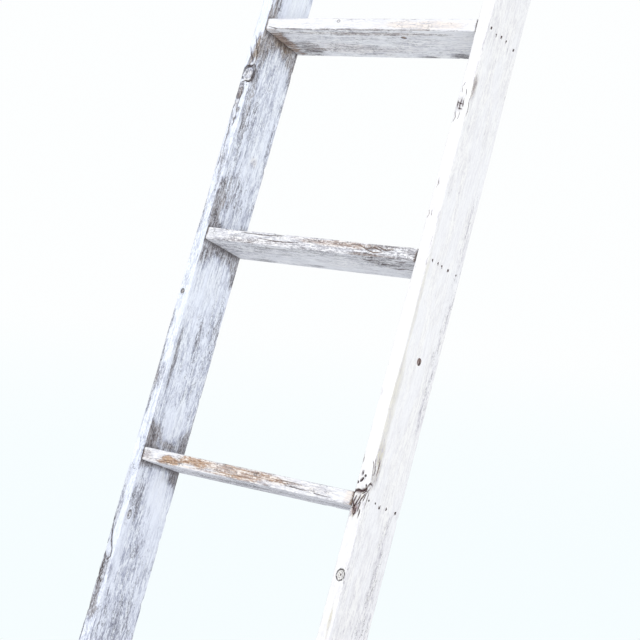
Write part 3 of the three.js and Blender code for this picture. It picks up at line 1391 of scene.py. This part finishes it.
RIGHT_CRACKS = [
    *cracks_on(
        FRONT, (0.8, 0.7),
        ((2, 212), (3, 203)), ((7, 215), (6, 207), (7, 199)), ((10, 213), (11, 203)),
    ),
    Crack(FRONT, ((9, -410), (12, -413)), 0.6, 0.5, 0.7),
    Crack(FRONT, ((10, -414), (12, -410)), 0.6, 0.5, 0.6),
    Crack(FRONT, ((1, 198), (4, 189), (2, 182)), 0.55, 0.6, 0.5),
    *cracks_on(
        FRONT, (0.5, 0.5, 0.25),
        ((5, 222), (3, 231), (6, 238)), ((2, 104), (5, 98), (3, 92)), ((1, 62), (3, 56), (1, 50)),
        ((5, 60), (7, 54)),
    ),
    Crack(FRONT, ((9, 196), (8, 186)), 0.5, 0.5, 0.4),
    Crack(FRONT, ((12, 220), (10, 228)), 0.5, 0.5, 0.25),
    Crack(HIGH, ((4, 246), (6, 236), (3, 226)), 0.6, 0.6, 0.5),
    *cracks_on(FRONT, (0.7, 0.7), ((3, 209), (10, 207)), ((4, 202), (11, 200))),
    Crack(HIGH, ((3, 222), (1, 212), (4, 200), (2, 190)), 0.6, 0.5, 0.4),
    *cracks_on(FRONT, (1.8, 3.0, 1.0, 0.9), TORN_LIP),
    *cracks_on(FRONT, (1.6, 2.0, 1.0, 0.2), *TORN_PITS),
    *cracks_on(FRONT, (0.85, 1.8, 0.95, 1.0), *TORN_SPLINTERS),
    *cracks_on(FRONT, (0.8, 0.9, 0.65, 0.7), *TORN_OUTLINES),
    Crack(LOW, ((60, 90), (58, 180), (61, 260)), 0.6, 1.4),
]

# The rungs' marks. HIGH is a rung's underside, and LOW its top.
RUNG_PATCHES = {
    1: [
        Patch(FRONT, 120, 9, 80, 7, 0.6, 0.6),
        Patch(HIGH, 300, 50, 40, 30, 0.5),
    ],
    2: [
        *patches_on(
            FRONT,
            (46, 12, 30, 8, 0.97, 1.0, 0.08), (92, 7, 30, 7, 0.6, 1.0), (150, 7, 108, 8.5, 0.66, 0.95),
            (110, 15, 80, 1.8, 0.5, 1.0), (262, 8, 70, 6, 0.35, 0.4), (339, 9, 9, 11, 0.12, 0.9),
            (8, 9, 12, 9, 0.5, 0.5),
        ),
        Patch(HIGH, 170, 85, 170, 5, 0.6),
    ],
    3: [
        *patches_on(
            FRONT,
            (225, 5, 84, 5, 0.5, 0.6), (275, 16, 48, 2.5, 0.65, 0.3, 0.3), (90, 14, 90, 4, 0.4, 0.2),
        ),
        *patches_on(
            HIGH,
            (115, 14, 66, 4, 0.7, 0.0, 0.3), (50, 80, 20, 10, 0.65, 0.0, 0.3),
            (142, 77, 22, 5, 0.6, 0.0, 0.2), (287, 26, 34, 24, 0.5, 0.0, 0.1),
        ),
    ],
    4: [
        *patches_on(FRONT, (255, 10, 90, 6, 0.3, 0.8), (180, 17.5, 160, 1.8, 0.7, 0.1, 0.3)),
        *patches_on(
            HIGH,
            (8, 40, 14, 50, 0.8, 0.7, 0.3), (42, 64, 26, 25, 0.65, 0.0, 0.25),
            (285, 80, 24, 12, 0.7, 0.0, 0.3), (230, 85, 16, 4, 0.7, 0.0, 0.2),
            (170, 12, 150, 6, 0.6, 0.3), (120, 60, 90, 20, 0.35, 0.3),
        ),
    ],
    5: [
        Patch(FRONT, 210, 9, 90, 6, 0.5, 0.4),
        Patch(HIGH, 60, 40, 50, 30, 0.5),
    ],
}
RUNG_KNOTS = {
    1: [Knot(LOW, 92, 38, 11, 8, ring=0.8)],
    3: [Knot(LOW, 251, 61, 9, 7, ring=0.8)],
    4: [
        Knot(HIGH, 222, 23, 4, 3, ring=1.0, depth=0.8, bare=0.95, warm=0.6),
        Knot(FRONT, 124, 4.5, 2.6, 2.0, ring=0.9, depth=0.4),
    ],
    5: [Knot(HIGH, 140, 58, 10, 7, ring=0.8)],
}
RUNG_CRACKS = {
    1: [Crack(FRONT, ((7, 210), (9, 262)), 0.5, 1.0)],
    2: [
        Crack(FRONT, ((3, 150), (4, 185), (4, 214)), 0.45, 0.4, 0.45, 0.8),
        *cracks_on(
            FRONT, (0.45, 0.4, 0.4, 0.8),
            ((8, 172), (9, 215), (9, 246)), ((12, 120), (13, 150), (12, 190)),
        ),
        *cracks_on(
            FRONT, (0.45, 0.4, 0.6, 0.2),
            ((6, 226), (6, 250), (7, 268)), ((11, 240), (12, 262), (12, 280)),
            ((13, 284), (14, 300), (14, 312)),
        ),
    ],
    3: [
        Crack(LOW, ((40, 0), (41, 60), (44, 96)), 0.6, 1.6),
        Crack(HIGH, ((2, 258), (9, 268), (4, 278), (10, 286)), 1.8, 1.2, 0.8, 0.1),
        *cracks_on(
            HIGH, (1.8, 1.2, 0.75, 0.1),
            ((14, 252), (21, 262), (15, 272), (23, 284)), ((27, 264), (34, 276), (29, 288), (36, 302)),
        ),
        Crack(HIGH, ((6, 300), (14, 314), (9, 328)), 1.8, 1.2, 0.8, 0.1),
        Crack(HIGH, ((42, 276), (49, 292), (43, 308), (50, 326)), 1.8, 1.2, 0.7, 0.1),
        *cracks_on(
            FRONT, (0.7, 0.8, 0.75, 0.8),
            ((4, 256), (8, 268), (5, 280), (9, 292)), ((9, 268), (12, 280), (10, 294)),
            ((3, 284), (7, 296), (5, 310)),
        ),
        *cracks_on(
            FRONT, (0.6, 0.6, 0.75, 0.2),
            ((3, 60), (4, 96), (3, 130)), ((9, 92), (11, 120), (10, 160)),
        ),
    ],
    4: [Crack(FRONT, ((13, 4), (17, 22), (17, 48), (18, 84)), 0.9, 0.8, 0.45, 0.1)],
    5: [Crack(FRONT, ((11, 345), (10, 300), (12, 262)), 0.5, 1.0)],
}
# How bare each rung's front is all over.
WORN_FRONTS = {1: 0.4, 2: 0.33, 3: 0.5, 4: 0.2, 5: 0.4}


@dataclass
class Rails:
    """Both rails, each with the marks of its own past.

    The right rail has an old blind hole in its outer face. Its height is in millimetres
    above the middle rung's centre, and its other sizes are in metres.
    """

    pose: Pose
    brads: Brads
    left_finish: bpy.types.Material
    right_finish: bpy.types.Material
    hole_across: float = 42 * MM
    hole_above: float = -128.0
    hole_depth: float = 2.6 * MM
    hole_radius: float = 5.2 * MM

    def rail(self, word: str, side: int, **past: object) -> Rail:
        """One rail, with its brads' holes.

        Args:
            word: Which, left or right.
            side: Where it stands: -1 on the left, 1 on the right.
            **past: What sets it apart, as a rail's own fields.

        Returns:
            The rail, not yet built.
        """
        place = self.pose.rail_place(side)
        size = (self.pose.thickness, self.pose.width, self.pose.front_length)
        past["drills"] = [*self.brads.drills(word, place), *past.get("drills", ())]
        return Rail(name=f"rail_{word}", size=size, place=place, pose=self.pose, **past)

    def left(self) -> Rail:
        """The left rail, whose inner face and front edge are the most worn.

        Returns:
            The rail, not yet built.
        """
        return self.rail(
            "left", -1, seed=11.3, inner=HIGH, edge_wear=0.38,
            base_bare={HIGH: 0.33, FRONT: 0.24, LOW: 0.38, BACK: 0.5},
            joints=LEFT_JOINTS, patches=LEFT_PATCHES, knots=LEFT_KNOTS, cracks=LEFT_CRACKS,
        )

    def right(self) -> Rail:
        """The right rail, with an old hole, and torn where a rung meets a knot.

        Returns:
            The rail, not yet built.
        """
        return self.rail(
            "right", 1, seed=37.9, inner=LOW, edge_wear=0.35, drills=[self.old_hole()],
            base_bare={LOW: 0.4, FRONT: 0.08, HIGH: 0.16, BACK: 0.55},
            joints=RIGHT_JOINTS, patches=RIGHT_PATCHES, knots=RIGHT_KNOTS, cracks=RIGHT_CRACKS,
        )

    def old_hole(self) -> Drill:
        """The old hole in the right rail, which stops short of its inner face.

        Returns:
            The hole, in the rail's own frame.
        """
        height = self.pose.up(self.hole_above) * MM
        bottom = Vector((self.pose.thickness - self.hole_depth, self.hole_across, height))
        mouth = Vector((self.pose.thickness + 3 * MM, self.hole_across, height))
        return Drill(bottom, mouth, self.hole_radius, warm=0.7, grime_and_shade=0.1)

    def build(self) -> None:
        """Makes both rails."""
        self.left().build("rail_wood", self.left_finish)
        self.right().build("rail_wood", self.right_finish)


@dataclass
class Rungs:
    """The five rungs, each with marks of its own.

    span is the length that their marks are placed along, in millimetres.
    """

    pose: Pose
    finish: bpy.types.Material
    spacing: float = 2.4 * MM
    span: float = 345.0

    def rung(self, number: int) -> Board:
        """One rung.

        Args:
            number: Which, from 1 at the foot.

        Returns:
            The rung, not yet built.
        """
        low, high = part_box(f"rung_{number}")
        return Board(
            name=f"rung_{number}",
            size=(self.pose.thickness, self.pose.width, high.x - low.x),
            place=self.pose.rung_place(number),
            seed=53.1 + 8.7 * number,
            spacing=self.spacing,
            base_bare={LOW: 0.46, HIGH: 0.52, FRONT: WORN_FRONTS[number], BACK: 0.55},
            patches=RUNG_PATCHES[number] + self.rubbed(number),
            knots=RUNG_KNOTS.get(number, []),
            cracks=RUNG_CRACKS.get(number, []),
        )

    def rubbed(self, number: int) -> list[Patch]:
        """Where quilts have rubbed a rung's top, and its ends are dark with dust and painted shade.

        Args:
            number: Which rung.

        Returns:
            The patches.
        """
        shift = 14.0 * math.sin(2.1 * number)
        ends = (0, self.span)
        return [
            Patch(LOW, self.span / 2 + shift, 30, 110, 22, 0.55, 0.3),
            *[Patch(LOW, along, 50, 10, 40, 0.6, 0.2, 0.4) for along in (4, self.span - 4)],
            # Narrow dark bands at each end of the front and the underside: partly dirt, partly painted
            # shade where the rung meets the rail.
            *[Patch(FRONT, along, 9, 2.2, 16, 0.8, 0.4, 0.6) for along in ends],
            *[Patch(HIGH, along, 40, 3, 60, 0.8, 0.3, 0.5) for along in ends],
        ]

    def build(self) -> None:
        """Makes every rung."""
        for number in range(1, RUNG_COUNT + 1):
            self.rung(number).build("rung_wood", self.finish)


@dataclass(frozen=True)
class Lamp:
    """A soft square lamp: its place and its side in metres, and its power in watts."""

    name: str
    place: Triple
    size: float
    power: float
    colour: Triple

    def build(self, target: Vector) -> None:
        """Hangs the lamp.

        Args:
            target: What it looks at.
        """
        light = bpy.data.lights.new(self.name, "AREA")
        light.shape = "SQUARE"
        light.size = self.size
        light.energy = self.power
        light.color = self.colour
        made = bpy.data.objects.new(self.name, light)
        bpy.context.scene.collection.objects.link(made)
        made.location = self.place
        made.rotation_euler = (target - Vector(self.place)).to_track_quat("-Z", "Y").to_euler()


@dataclass(frozen=True)
class Studio:
    """A white sweep, soft lamps and the camera.

    The floor is matt out to matt_to and only glows from glow_from on. Its glow fades to the
    surround's white between fade_from and fade_to. All four are metres from its middle. The
    camera stands off the middle rung's centre by offset. Its angles are in degrees.
    """

    white: Triple = (0.983, 0.996, 0.998)
    near_glow: Triple = (0.922, 0.985, 1.0)
    floor_colour: Triple = (0.74, 0.73, 0.76)
    floor_radius: float = 40.0
    matt_to: float = 0.5
    glow_from: float = 1.1
    fade_from: float = 1.5
    fade_to: float = 9.0
    sky_colour: Triple = (0.9, 0.95, 1.0)
    sky_strength: float = 0.85
    lit_middle: Triple = (0.0, 0.0, 0.85)
    lens: float = 88.2
    sensor: float = 36.0
    offset: Triple = (1.2163, -1.739, 0.0774)
    heading: float = 34.9
    fall: float = 4.5
    roll: float = 4.83
    lamps: tuple[Lamp, ...] = (
        Lamp("key", (-1.2, -3.2, 2.6), 2.4, 40.0, (1.0, 0.985, 0.97)),
        Lamp("side", (2.7, -2.1, 1.1), 2.0, 38.0, (1.0, 0.98, 0.96)),
    )

    def floor(self) -> None:
        """A plain pale floor that fades into the white behind it."""
        shape = bmesh.new()
        bmesh.ops.create_circle(shape, cap_ends=True, segments=96, radius=self.floor_radius)
        data = mesh_of("floor", shape)
        made = shown_object("floor", data)
        make = Nodes("pale_floor")
        away = make.vector("LENGTH", make.add("TexCoord", {}).outputs["Object"])
        matt = make.add("BsdfDiffuse", {"Color": (*self.floor_colour, 1.0)})
        fade = make.mix(make.ramp(away, self.fade_from, self.fade_to), self.near_glow, self.white)
        glow = make.add("Emission", {"Color": fade, "Strength": 1.0})
        share = make.ramp(away, self.matt_to, self.glow_from)
        both = make.add("MixShader", {0: share, 1: matt.outputs[0], 2: glow.outputs[0]})
        data.materials.append(make.finish(both))

    def sky(self) -> None:
        """A white surround, softer where it lights the ladder than where it is seen."""
        world = bpy.data.worlds.new("white_surround")
        bpy.context.scene.world = world
        world.use_nodes = True
        tree = world.node_tree
        tree.nodes.clear()
        output = tree.nodes.new("ShaderNodeOutputWorld")
        seen = tree.nodes.new("ShaderNodeBackground")
        seen.inputs[0].default_value = (*self.white, 1.0)
        lit = tree.nodes.new("ShaderNodeBackground")
        lit.inputs[0].default_value = (*self.sky_colour, 1.0)
        lit.inputs[1].default_value = self.sky_strength
        path = tree.nodes.new("ShaderNodeLightPath")
        both = tree.nodes.new("ShaderNodeMixShader")
        tree.links.new(path.outputs["Is Camera Ray"], both.inputs[0])
        tree.links.new(lit.outputs[0], both.inputs[1])
        tree.links.new(seen.outputs[0], both.inputs[2])
        tree.links.new(both.outputs[0], output.inputs["Surface"])

    def camera(self) -> None:
        """Stands to the right of the ladder and looks at its middle rung."""
        low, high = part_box("rung_3")
        data = bpy.data.cameras.new("camera")
        data.sensor_width = self.sensor
        data.lens = self.lens
        made = bpy.data.objects.new("camera", data)
        bpy.context.scene.collection.objects.link(made)
        made.location = (low + high) / 2 + Vector(self.offset)
        heading = Matrix.Rotation(math.radians(self.heading), 4, "Z")
        pitch = Matrix.Rotation(math.radians(90 - self.fall), 4, "X")
        roll = Matrix.Rotation(math.radians(self.roll), 4, "Z")
        made.rotation_euler = (heading @ pitch @ roll).to_euler()
        bpy.context.scene.camera = made

    def build(self) -> None:
        """Sets the studio up."""
        self.camera()
        self.floor()
        self.sky()
        for lamp in self.lamps:
            lamp.build(Vector(self.lit_middle))
        bpy.context.scene.view_settings.view_transform = "Standard"
        bpy.context.scene.view_settings.look = "None"


# The left rail's tones are a shaded copy of the whitewash the right rail has: its paints are tinted
# blue as painted shade, for the blue sky light in the shadow the right rail casts on it.
SHADED_LEFT_TONES = Tones(
    paint=(0.92, 0.945, 0.99),
    cool_paint=(0.86, 0.89, 0.98),
    thin_paint=(0.41, 0.43, 0.54),
    stained_paint=(0.76, 0.7, 0.64),
    grey_light=(0.56, 0.545, 0.575),
    grey_dark=(0.12, 0.113, 0.125),
    brown_light=(0.5, 0.41, 0.31),
    brown_dark=(0.15, 0.1, 0.075),
    grime_and_shade=(0.065, 0.048, 0.045),
)
RIGHT_TONES = Tones(
    paint=(0.91, 0.888, 0.87),
    cool_paint=(0.872, 0.857, 0.872),
    thin_paint=(0.6, 0.575, 0.62),
    stained_paint=(0.61, 0.55, 0.38),
    grey_light=(0.42, 0.4, 0.41),
    grey_dark=(0.12, 0.11, 0.11),
    brown_light=(0.62, 0.48, 0.42),
    brown_dark=(0.13, 0.05, 0.052),
    grime_and_shade=(0.05, 0.024, 0.028),
)
RUNG_TONES = Tones(
    paint=(0.92, 0.905, 0.905),
    cool_paint=(0.85, 0.845, 0.875),
    thin_paint=(0.56, 0.55, 0.6),
    stained_paint=(0.87, 0.74, 0.63),
    grey_light=(0.42, 0.4, 0.42),
    grey_dark=(0.13, 0.12, 0.125),
    brown_light=(0.66, 0.455, 0.31),
    brown_dark=(0.24, 0.125, 0.07),
    grime_and_shade=(0.065, 0.048, 0.045),
)


def main() -> None:
    """Builds the ladder and its studio in order, and reports each step."""
    logging.basicConfig(level=logging.INFO, format="%(name)s: %(message)s")
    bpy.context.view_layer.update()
    pose = Pose.from_frame()
    LOG.info("lean %.1f degrees", math.degrees(pose.lean))
    Studio().build()
    brads = Brads(pose, RustedSteel("rusted_brad_steel").material())
    # The left rail takes the shaded copy of the whitewash, tinted blue as painted shade.
    cool = Whitewash("shaded_left_rail_whitewash", SHADED_LEFT_TONES).laid()
    clean = Whitewash("clean_rail_whitewash", RIGHT_TONES).laid()
    Rails(pose, brads, cool, clean).build()
    Rungs(pose, Whitewash("rung_whitewash", RUNG_TONES).laid()).build()
    LOG.info("%d brads", brads.build())


if __name__ == "__main__":
    main()
